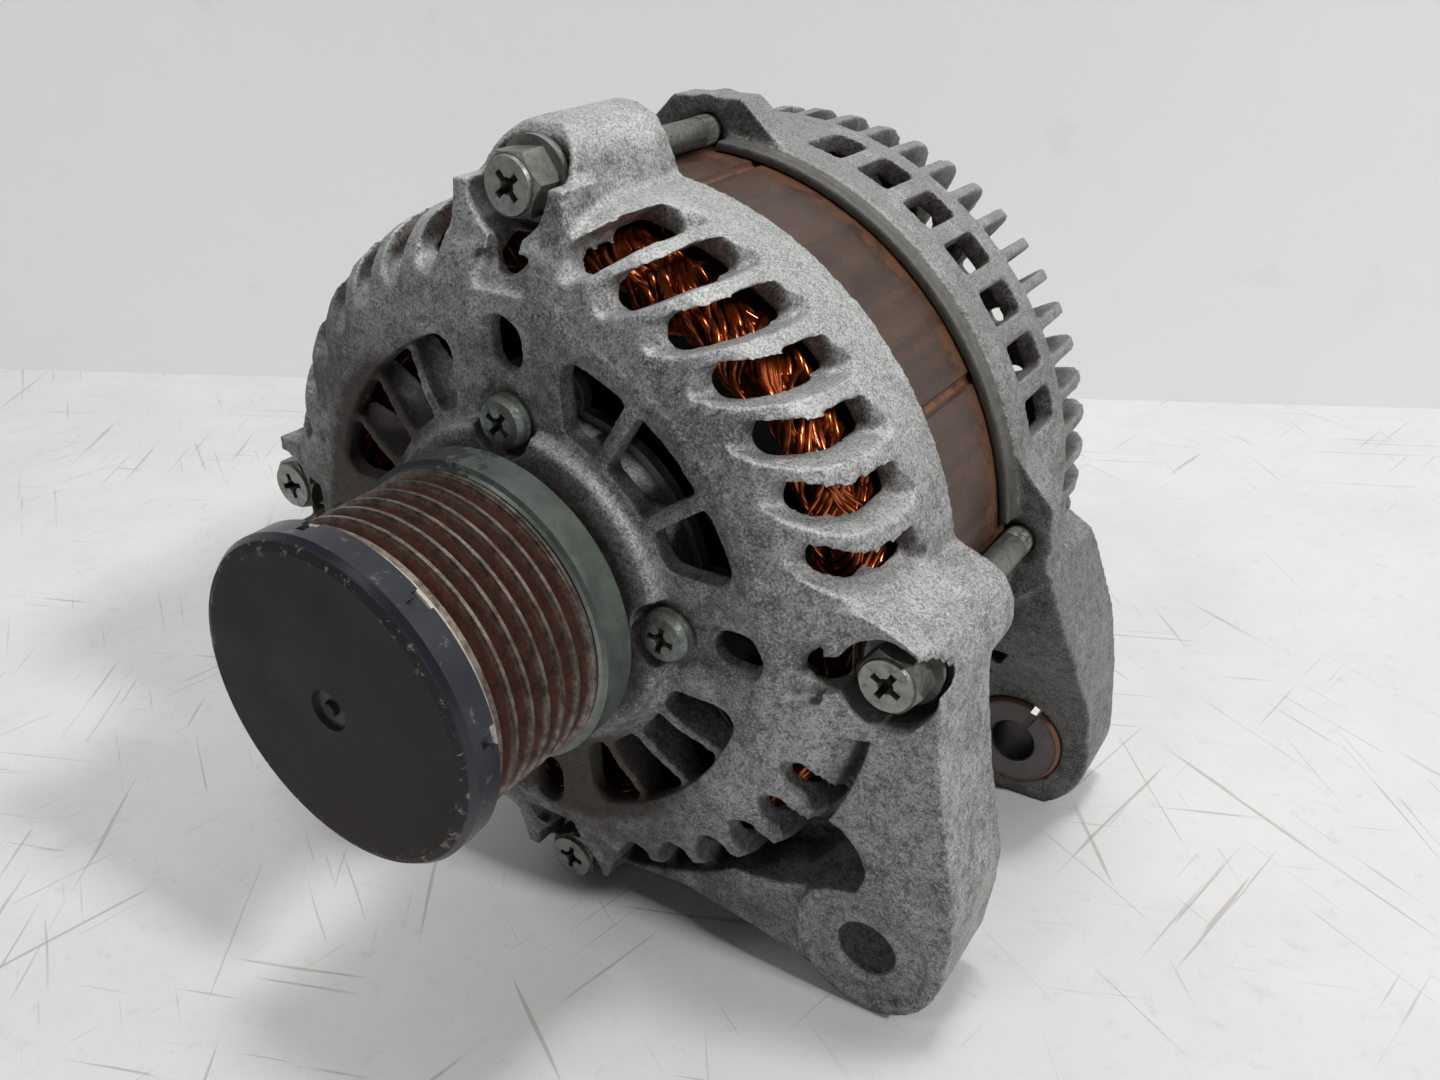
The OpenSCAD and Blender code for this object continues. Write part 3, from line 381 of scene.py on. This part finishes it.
def mat_cap(name):
    m = Mat(name)
    x, yy, z = m.xyz()
    a, r, y = m.polar()
    n1 = m.noise(0.08, 6, 0.65)
    n2 = m.noise(1.2, 5, 0.7)
    n3 = m.noise(6.0, 3, 0.6)
    face = m.step(y, -79.0, -79.5)
    base = m.mix(face, (0.012, 0.014, 0.021), (0.016, 0.016, 0.018))
    # dust over the face, thicker and browner low down
    low = m.step(z, 6.0, -26.0)
    dust = m.math("ADD", m.mul(m.step(n1, 0.36, 0.7), 0.5), m.mul(low, m.step(n2, 0.3, 0.62)), clamp=True)
    dustc = m.mix(low, (0.032, 0.032, 0.034), (0.070, 0.055, 0.044))
    c = m.mix(m.mul(m.mul(dust, face), 0.5), base, dustc)
    c = m.mix(m.mul(m.step(n3, 0.6, 0.7), 0.25), c, (0.075, 0.072, 0.07))
    # scuffs near the edge
    ring = m.mul(m.step(r, 24.5, 26.8), face)
    sc = m.mul(ring, m.step(m.noise(0.45, 5, 0.8, off=9.0), 0.57, 0.62))
    c = m.mix(m.mul(sc, 0.8), c, (0.33, 0.24, 0.18))
    band = m.mul(m.step(y, -78.6, -77.6), m.step(m.noise(0.35, 5, 0.75, off=4.0), 0.58, 0.66))
    c = m.mix(m.mul(band, 0.5), c, (0.2, 0.17, 0.14))
    m.bump(n2, 0.05, 0.35)
    m.bump(n3, 0.03, 0.4)
    rough = m.mixf(face, 0.30, m.mixf(dust, 0.55, 0.8))
    return m.done(c, rough, 0.0, Specular_IOR_Level=m.mixf(face, 0.45, 0.22))


def mat_stator(name):
    """Varnished steel sheets: dark brown with broad axial bands, rust creeping in from the rear edge."""
    m = Mat(name)
    a, r, y = m.polar()
    lam = m.math("SINE", m.mul(y, 12.566))          # sheets 0.5 mm thick
    n1 = m.noise(0.10, 6, 0.65)
    n2 = m.noise(0.9, 6, 0.7)
    n3 = m.noise(0.30, 5, 0.7, off=9.0)
    band = m.noise(1.0, 2, 0.5, vec=m.polar_vec(0.14, 0.0, 0.012))
    streak = m.noise(1.0, 4, 0.6, vec=m.polar_vec(0.5, 0.0, 0.03))
    c = m.mix(m.step(n1, 0.30, 0.66), (0.030, 0.015, 0.010), (0.070, 0.036, 0.023))
    c = m.mix(m.mul(m.step(band, 0.42, 0.62), 0.55), c, (0.085, 0.052, 0.038))
    c = m.mix(m.mul(m.step(streak, 0.48, 0.7), 0.5), c, (0.095, 0.055, 0.036))
    c = m.mix(m.mul(m.step(n2, 0.52, 0.72), 0.45), c, (0.115, 0.078, 0.058))
    c = m.mix(m.mul(m.step(n3, 0.56, 0.70), 0.55), c, (0.135, 0.052, 0.018))
    ph = m.math("PINGPONG", m.add(a, 361.5), 5.0)
    c = m.mix(m.mul(m.step(ph, 0.8, 0.2), 0.45), c, (0.032, 0.02, 0.015))
    ph50 = m.math("PINGPONG", m.add(a, 371.5), 25.0)
    weld = m.mul(m.step(ph50, 0.7, 0.3), m.step(m.noise(0.5, 4), 0.40, 0.55))
    c = m.mix(m.mul(weld, 0.75), c, (0.27, 0.085, 0.022))
    # rust creeping in from the rear edge, in waves
    wave = m.add(y, m.mul(m.sub(m.noise(0.16, 5, 0.7, off=6.0), 0.5), 12.0))
    redge = m.mul(m.step(wave, 16.5, 18.8), m.step(m.noise(0.35, 4, 0.6, off=3.0), 0.36, 0.56))
    c = m.mix(m.mul(redge, 0.75), c, m.mix(n2, (0.19, 0.072, 0.022), (0.085, 0.038, 0.02)))
    m.bump(lam, 0.03, 0.5)
    m.bump(n2, 0.22, 0.6)
    m.bump(band, 0.8, 0.4)
    gloss = m.mixf(m.step(n1, 0.4, 0.65), 0.30, 0.5)
    return m.done(c, m.mixf(redge, gloss, 0.75), 0.1, Specular_IOR_Level=0.3, Coat_Weight=m.mixf(redge, 0.12, 0.0), Coat_Roughness=0.3)


def mat_copper(name, seed=0.0):
    """Enamelled copper wire: orange where it catches the light, red-brown varnish elsewhere."""
    m = Mat(name)
    n1 = m.noise(0.35, 3, 0.6, off=seed)
    n2 = m.noise(2.0, 3, 0.6, off=seed + 3)
    c = m.mix(m.step(n1, 0.35, 0.65), (0.26, 0.055, 0.014), (0.62, 0.17, 0.035))
    c = m.mix(m.mul(m.step(n2, 0.54, 0.7), 0.5), c, (0.20, 0.04, 0.012))
    # gaps between the wires darkened by ambient occlusion: painted shade
    occ = m.ao(4.0, 3)
    c = m.mix(m.mul(m.step(occ, 0.5, 0.08), 0.8), c, (0.05, 0.012, 0.005))
    m.bump(n2, 0.04, 0.3)
    return m.done(c, m.mixf(n2, 0.16, 0.30), 0.9, Coat_Weight=0.5, Coat_Roughness=0.12, Coat_Tint=(1.0, 0.62, 0.32))


def mat_plastic(name, col, rough=0.5, dust=0.3, dustcol=(0.16, 0.14, 0.12), seed=0.0):
    m = Mat(name)
    n1 = m.noise(0.2, 5, 0.6, off=seed)
    n2 = m.noise(3.0, 4, 0.6, off=seed + 2)
    c = m.mix(n1, tuple(x * 0.8 for x in col), tuple(min(1, x * 1.2) for x in col))
    d = m.mul(m.step(m.noise(0.5, 6, 0.7, off=seed + 5), 0.42, 0.7), dust)
    c = m.mix(d, c, dustcol)
    m.bump(n2, 0.04, 0.4)
    return m.done(c, m.mixf(n2, rough - 0.06, rough + 0.14), 0.0)


def mat_fan(name):
    m = Mat(name)
    n1 = m.noise(0.3, 5, 0.6)
    n2 = m.noise(2.0, 4, 0.6)
    # dark blue-grey steel, darkened further as painted shade for the dim inside of the housing
    c = m.mix(n1, (0.022, 0.027, 0.036), (0.060, 0.070, 0.086))
    c = m.mix(m.mul(m.step(n2, 0.55, 0.7), 0.5), c, (0.05, 0.035, 0.025))
    m.bump(n2, 0.05, 0.4)
    return m.done(c, m.mixf(n2, 0.35, 0.6), 0.75)


def mat_bush(name):
    m = Mat(name)
    x, y, z = m.xyz()
    dx, dz = m.sub(x, 65.84), m.add(z, 57.45)
    rr = m.math("SQRT", m.add(m.mul(dx, dx), m.mul(dz, dz)))
    n1 = m.noise(0.4, 5, 0.65)
    n2 = m.noise(2.5, 4, 0.6)
    c = m.mix(n1, (0.12, 0.115, 0.11), (0.25, 0.24, 0.23))
    rust = m.math("ADD", m.step(m.add(rr, m.mul(n1, 2.0)), 10.0, 11.2), m.mul(m.step(n2, 0.56, 0.7), 0.5), clamp=True)
    c = m.mix(m.mul(rust, 0.85), c, (0.19, 0.075, 0.03))
    # darker at the bore: painted shade inside the hole
    c = m.mix(m.step(rr, 5.4, 4.7), c, (0.04, 0.035, 0.03))
    m.bump(n2, 0.08, 0.5)
    return m.done(c, m.mixf(rust, 0.42, 0.8), m.mixf(rust, 0.85, 0.1))


M = {
    "cast": mat_cast("cast_aluminium"),
    "cast_rear": mat_cast("cast_aluminium_rear", seed=57.0, spigot=True, tone=0.62),
    "zinc": mat_zinc("zinc_bolts", tint=(0.19, 0.195, 0.18), yellow=(0.13, 0.105, 0.06), grime=0.85, rough0=0.32),
    "flange": mat_flange("plated_flange"),
    "screw": mat_zinc("zinc_screws", tint=(0.17, 0.20, 0.18), yellow=(0.13, 0.13, 0.07), grime=0.8, rough0=0.34, seed=31.0),
    "steel": mat_steel("ground_steel"),
    "iron": mat_steel("pole_iron", (0.045, 0.038, 0.034), 0.6, 0.2, 5.0),
    "pulley": mat_pulley("rusty_grooves"),
    "cap": mat_cap("cap_plastic"),
    "stator": mat_stator("varnished_stator"),
    "copper": mat_copper("copper_wire"),
    "fan": mat_fan("fan_steel"),
    "beige": mat_plastic("beige_insulation", (0.62, 0.50, 0.34), 0.55, 0.35, (0.25, 0.17, 0.10)),
    "slot_liner": mat_plastic("slot_liner", (0.16, 0.10, 0.06), 0.55, 0.5, (0.05, 0.035, 0.025)),
    "black": mat_plastic("black_plastic", (0.025, 0.025, 0.027), 0.45, 0.3),
    "carbon": mat_plastic("pressed_carbon", (0.03, 0.03, 0.032), 0.55, 0.1),
    "brass": mat_steel("brass_parts", (0.62, 0.42, 0.16), 0.3, 0.1, 17.0),
    "coil": mat_plastic("coil_tape", (0.33, 0.12, 0.04), 0.4, 0.3, (0.1, 0.05, 0.03)),
    "sink": mat_steel("heat_sink_plate", (0.55, 0.55, 0.56), 0.4, 0.05, 23.0),
    "bush": mat_bush("bush_steel"),
}

LOOK = {
    "pulley_cap": "cap", "pulley_ring": "pulley", "pulley_hub": "steel", "pulley_flange": "flange",
    "clutch_rollers": "steel", "pulley_bearings": "steel", "rotor_shaft": "steel", "spacer_collar": "steel",
    "claw_pole_front": "iron", "claw_pole_rear": "iron", "field_coil": "coil", "coil_bobbin": "slot_liner",
    "front_fan": "fan", "rear_fan": "fan", "slip_rings": "brass", "front_bearing_inner": "steel",
    "front_bearing_outer": "steel", "front_bearing_balls": "steel", "front_bearing_cage": "brass",
    "rear_bearing_inner": "steel", "rear_bearing_outer": "steel", "rear_bearing_balls": "steel",
    "rear_bearing_cage": "brass", "rear_bearing_sleeve": "black", "bearing_retainer": "zinc",
    "retainer_screws": "screw", "front_bracket": "cast", "rear_bracket": "cast_rear", "stator_core": "stator",
    "stator_winding": "copper", "slot_insulation": "slot_liner", "winding_shield": "beige", "through_bolts": "zinc",
    "positive_heat_sink": "sink", "negative_heat_sink": "sink", "diodes": "steel", "terminal_block": "black",
    "voltage_regulator": "black", "brush_holder": "black", "brush_front": "carbon", "brush_rear": "carbon",
    "spring_front": "steel", "spring_rear": "steel", "rear_screws": "zinc", "output_stud": "zinc",
    "output_nut": "zinc", "output_insulator": "black", "plug_socket": "black", "plug_pins": "brass",
    "split_bush": "bush",
}
for node, obj in N.items():
    paint(obj, M[LOOK[node]])


def bevel(obj, width_mm, segments=2, angle=32):
    b = obj.modifiers.new("round_edges", "BEVEL")
    b.width = width_mm * MM
    b.segments = segments
    b.limit_method = "ANGLE"
    b.angle_limit = math.radians(angle)
    b.harden_normals = False
    b.use_clamp_overlap = True


def cast_round(obj, voxel_mm, smooth=6, noise_mm=0.12, shrink_mm=0.1):
    """Turns the sharp solid into a casting: remeshed, softened and slightly uneven."""
    r = obj.modifiers.new("solid", "REMESH")
    r.mode = "VOXEL"
    r.voxel_size = voxel_mm * MM
    r.use_smooth_shade = True
    s = obj.modifiers.new("soften", "SMOOTH")
    s.factor = 0.5
    s.iterations = smooth
    t = bpy.data.textures.new(obj.name + "_uneven", "CLOUDS")
    t.noise_scale = 0.0042
    t.noise_depth = 3
    d = obj.modifiers.new("uneven", "DISPLACE")
    d.texture = t
    d.texture_coords = "GLOBAL"
    d.mid_level = 0.5
    d.strength = noise_mm * 2 * MM
    t2 = bpy.data.textures.new(obj.name + "_grain", "CLOUDS")
    t2.noise_scale = 0.0011
    t2.noise_depth = 2
    d2 = obj.modifiers.new("grain", "DISPLACE")
    d2.texture = t2
    d2.texture_coords = "GLOBAL"
    d2.mid_level = 0.5
    d2.strength = noise_mm * MM
    d3 = obj.modifiers.new("worn", "DISPLACE")
    d3.mid_level = 0.0
    d3.strength = -shrink_mm * MM


VOX = 0.55
cast_round(N["front_bracket"], VOX, 4, 0.11, 0.24)
cast_round(N["rear_bracket"], VOX, 2, 0.09, 0.12)
for n, w in (("pulley_cap", 0.25), ("pulley_ring", 0.08), ("pulley_flange", 0.15), ("through_bolts", 0.18),
             ("retainer_screws", 0.15), ("rear_screws", 0.15), ("split_bush", 0.2), ("stator_core", 0.1),
             ("output_nut", 0.2), ("output_insulator", 0.3), ("plug_socket", 0.4), ("front_fan", 0.2), ("rear_fan", 0.2),
             ("winding_shield", 0.2)):
    bevel(N[n], w)
for n in N:
    if n in ("front_bracket", "rear_bracket"):
        continue
    for p in N[n].data.polygons:
        p.use_smooth = True
    if hasattr(N[n].data, "set_sharp_from_angle"):
        N[n].data.set_sharp_from_angle(angle=math.radians(28))


# ------------------------------------------------------------------ end turns of the winding
def lerp_table(tab, v):
    """Straight lines between the given (input, output) pairs."""
    for (a, fa), (b, fb) in zip(tab, tab[1:]):
        if v <= b:
            return fa + (fb - fa) * max(0.0, (v - a) / (b - a))
    return tab[-1][1]


FRONT = dict(top=26.2, low=[(0, 54.9), (4, 54.9), (12, 52.1), (22, 51.9), (26, 52.8), (27, 53.6)],
             high=[(0, 59.3), (14, 59.3), (20.6, 58.7), (25, 56.9), (27, 54.8)])
REAR = dict(top=12.6, low=[(0, 54.9), (8, 54.9), (13, 56.0)], high=[(0, 59.3), (8, 59.3), (13, 57.4)])


def wires(name, side, seed, bundles, per, env):
    """End turns: bundles of parallel wires rise along the inner side of the ring, cross over its
    crown outwards and come down three slots further along its outer side."""
    rnd = random.Random(seed)
    cu = bpy.data.curves.new(name, "CURVE")
    cu.dimensions = "3D"
    cu.bevel_depth = 0.68 * MM
    cu.bevel_resolution = 1
    cu.resolution_u = 4
    cu.use_fill_caps = True
    top = env["top"]
    for i in range(36):
        a0 = math.radians(10 * i + 5)
        for b in range(bundles):
            lev = (b + rnd.uniform(0.15, 0.85)) / bundles
            crown = top * (0.42 + 0.55 * lev ** 0.75)
            r_in = rnd.uniform(52.2, 54.6)
            r_out = rnd.uniform(57.4, 59.2)
            cross = rnd.uniform(0.36, 0.64)
            width = rnd.uniform(0.10, 0.26)
            flip = rnd.random() < 0.22
            for w in range(per):
                q = w - (per - 1) / 2
                shift = math.radians(q * 1.45 + rnd.uniform(-0.25, 0.25))
                span = math.radians(30 + rnd.uniform(-0.8, 0.8))
                hgt = min(crown + rnd.uniform(-0.9, 0.9), top)
                sp = cu.splines.new("BEZIER")
                n = 9
                pts = []
                for j in range(n):
                    u = j / (n - 1)
                    rise = math.sin(math.pi * u) ** 0.42 if 0 < u < 1 else 0.0
                    ax = hgt * rise
                    t = min(max((u - cross) / width + 0.5, 0.0), 1.0)
                    t = t * t * (3 - 2 * t)
                    if flip:
                        t = 1 - t
                    rr = r_in + (r_out - r_in) * t + rnd.uniform(-0.25, 0.25)
                    rr = min(max(rr, lerp_table(env["low"], ax)), lerp_table(env["high"], ax))
                    ang = a0 + span * u + shift * (0.25 + 0.75 * rise)
                    y = -ax if side < 0 else 27 + ax
                    pts.append((rr * math.cos(ang), Y0 + y, rr * math.sin(ang)))
                sp.bezier_points.add(n - 1)
                for bp, p in zip(sp.bezier_points, pts):
                    bp.co = Vector(p) * MM
                    bp.handle_left_type = bp.handle_right_type = "AUTO"
    ob = bpy.data.objects.new(name, cu)
    bpy.context.scene.collection.objects.link(ob)
    return ob


def to_mesh(ob, name):
    dg = bpy.context.evaluated_depsgraph_get()
    me = bpy.data.meshes.new_from_object(ob.evaluated_get(dg))
    new = bpy.data.objects.new(name, me)
    bpy.context.scene.collection.objects.link(new)
    bpy.data.objects.remove(ob)
    for p in me.polygons:
        p.use_smooth = True
    return new


for side, nm, sd, nb, per, env in ((-1, "front_end_turns", 11, 5, 4, FRONT), (1, "rear_end_turns", 12, 3, 3, REAR)):
    w = to_mesh(wires(nm + "_curve", side, sd, nb, per, env), nm)
    paint(w, M["copper"])
    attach(w, "housing")


# copper bars left visible inside the slots stand for the CAD winding
def slot_bars():
    bm = bmesh.new()
    for i in range(36):
        a = math.radians(10 * i + 5)
        c, s = math.cos(a), math.sin(a)
        for jr in range(4):
            for jt in range(2):
                rr = 54.8 + jr * 1.62
                tt = -0.78 + jt * 1.56
                mat = Matrix.Translation(Vector((rr * c - tt * s, Y0 + 13.5, rr * s + tt * c)) * MM) @ Matrix.Rotation(math.pi / 2, 4, "X")
                bmesh.ops.create_cone(bm, cap_ends=True, segments=10, radius1=0.76 * MM, radius2=0.76 * MM, depth=28.5 * MM, matrix=mat)
    me = bpy.data.meshes.new("slot_wires")
    bm.to_mesh(me)
    bm.free()
    ob = bpy.data.objects.new("slot_wires", me)
    bpy.context.scene.collection.objects.link(ob)
    for p in me.polygons:
        p.use_smooth = True
    return ob


sw = slot_bars()
paint(sw, M["copper"])
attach(sw, "housing")
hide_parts("stator_winding")


# ------------------------------------------------------------------ stage, light, camera
def plane(name, co, mat):
    me = bpy.data.meshes.new(name)
    me.from_pydata([tuple(v) for v in co], [], [(0, 1, 2, 3)])
    ob = bpy.data.objects.new(name, me)
    bpy.context.scene.collection.objects.link(ob)
    ob.data.materials.append(mat)
    return ob


TILT = math.atan2(2.4, 65.84)
ux = Vector((math.cos(TILT), 0, math.sin(TILT)))
uy = Vector((0, 1, 0))
un = Vector((-math.sin(TILT), 0, math.cos(TILT)))
F0 = Vector((0, 60.5, -74.1)) * MM

fm = Mat("pale_table")
fx, fy, fz = fm.xyz()


def streaks(kx, ky, off, lo, hi):
    """Thin scratches running one way across the table."""
    n = fm.t.nodes.new("ShaderNodeCombineXYZ")
    fm.put(n.inputs[0], fm.add(fm.add(fm.mul(fx, kx * 0.55), fm.mul(fy, ky * 0.55)), off))
    fm.put(n.inputs[1], fm.add(fm.mul(fx, -ky * 0.012), fm.mul(fy, kx * 0.012)))
    n.inputs[2].default_value = off
    return fm.step(fm.noise(1.0, 3, 0.55, vec=n.outputs[0]), lo, hi)


f1 = fm.noise(0.02, 6, 0.65)
f2 = fm.noise(0.25, 6, 0.7)
f3 = fm.noise(0.9, 5, 0.7)
fc = fm.mix(fm.step(f1, 0.35, 0.65), (0.74, 0.742, 0.75), (0.79, 0.788, 0.79))
fc = fm.mix(fm.mul(fm.step(f2, 0.56, 0.70), 0.35), fc, (0.60, 0.575, 0.55))
fc = fm.mix(fm.mul(fm.step(f3, 0.64, 0.74), 0.35), fc, (0.48, 0.45, 0.42))
worn = fm.step(fm.noise(0.012, 3, 0.6, off=40.0), 0.36, 0.56)
for kx, ky, off in ((0.8, 0.6, 3.0), (-0.35, 0.94, 17.0), (0.98, -0.2, 31.0), (0.5, 0.87, 53.0)):
    fc = fm.mix(fm.mul(fm.mul(streaks(kx, ky, off, 0.655, 0.70), worn), 0.6), fc, (0.42, 0.37, 0.33))
fm.bump(f2, 0.2, 0.2)
floor_mat = fm.done(fc, 0.40, 0.0)
wm = Mat("pale_wall")
w1 = wm.noise(0.004, 4, 0.6)
w2 = wm.noise(0.03, 5, 0.6)
wc = wm.mix(w1, (0.82, 0.815, 0.81), (0.86, 0.855, 0.85))
wall_mat = wm.done(wm.mix(wm.mul(wm.step(w2, 0.62, 0.74), 0.25), wc, (0.6, 0.6, 0.59)), 0.6, 0.0, Emission_Color=(1.0, 0.995, 0.985, 1.0), Emission_Strength=0.16)

cam_pos = Vector((129.636, -169.783 + Y0, 106.372)) * MM
R = np.array([[0.83820552, 0.54516195, -0.01449006], [0.24745352, -0.40387714, -0.88070995], [-0.48598176, 0.73463032, -0.47343429]])
FOCAL = 1208.29


def ray(u, v):
    d = R.T @ np.array([(u - 720) / FOCAL, (v - 540) / FOCAL, 1.0])
    return Vector(d).normalized()


def on_floor(u, v):
    d = ray(u, v)
    t = (F0 - cam_pos).dot(un) / d.dot(un)
    return cam_pos + d * t


# the wall stands on the line where the table ends
wa, wb = on_floor(0, 369), on_floor(1440, 409)
wdir = (wb - wa).normalized()
wl, wr = wa - wdir * 2.5, wb + wdir * 2.5
back = wdir.cross(un).normalized()
if back.dot(ray(720, 540)) < 0:
    back = -back
plane("floor", [wl, wr, wr - back * 4.0, wl - back * 4.0], floor_mat)
wall = [wl, wr, wr + un * 3.0, wl + un * 3.0]
if (wr - wl).cross(un).dot(ray(720, 540)) > 0:
    wall.reverse()
# the wall shows its front only, so views from behind look past it
wt = wall_mat.node_tree
wout = next(n for n in wt.nodes if n.type == "OUTPUT_MATERIAL")
wsrc = wout.inputs["Surface"].links[0].from_socket
wgeo = wt.nodes.new("ShaderNodeNewGeometry")
wmix = wt.nodes.new("ShaderNodeMixShader")
wtr = wt.nodes.new("ShaderNodeBsdfTransparent")
wt.links.new(wgeo.outputs["Backfacing"], wmix.inputs[0])
wt.links.new(wsrc, wmix.inputs[1])
wt.links.new(wtr.outputs[0], wmix.inputs[2])
wt.links.new(wmix.outputs[0], wout.inputs["Surface"])
plane("backdrop", wall, wall_mat)

cam = bpy.data.cameras.new("camera")
cam.sensor_width = 36.0
cam.lens = FOCAL / 1440 * 36.0
cam.clip_start = 0.01
co = bpy.data.objects.new("camera", cam)
m3 = Matrix((tuple(R[0]), tuple(-R[1]), tuple(-R[2]))).transposed()
co.matrix_world = Matrix.Translation(cam_pos) @ m3.to_4x4()
bpy.context.scene.collection.objects.link(co)
bpy.context.scene.camera = co


def area(name, loc, target, size, power, color=(1, 1, 1)):
    li = bpy.data.lights.new(name, "AREA")
    li.shape = "RECTANGLE"
    li.size, li.size_y = size
    li.energy = power
    li.color = color
    ob = bpy.data.objects.new(name, li)
    ob.location = loc
    ob.rotation_euler = (Vector(target) - Vector(loc)).to_track_quat("-Z", "Y").to_euler()
    bpy.context.scene.collection.objects.link(ob)
    return ob


area("key", (2.50, 0.02, 2.10), (0, 0.05, 0), (0.35, 0.35), 55.0, (1.0, 0.985, 0.965))
area("front_left", (-0.45, -1.50, 1.75), (0, 0.05, 0), (0.3, 0.3), 5.0, (0.97, 0.985, 1.0))
area("top", (0.10, 0.35, 2.2), (0, 0.05, 0), (0.40, 0.40), 23.0, (0.98, 0.99, 1.0))
world = bpy.data.worlds.new("studio")
world.use_nodes = True
bg = world.node_tree.nodes["Background"]
bg.inputs[0].default_value = (0.92, 0.95, 1.0, 1)
bg.inputs[1].default_value = 0.08
bpy.context.scene.world = world
bpy.context.scene.view_settings.view_transform = "Standard"
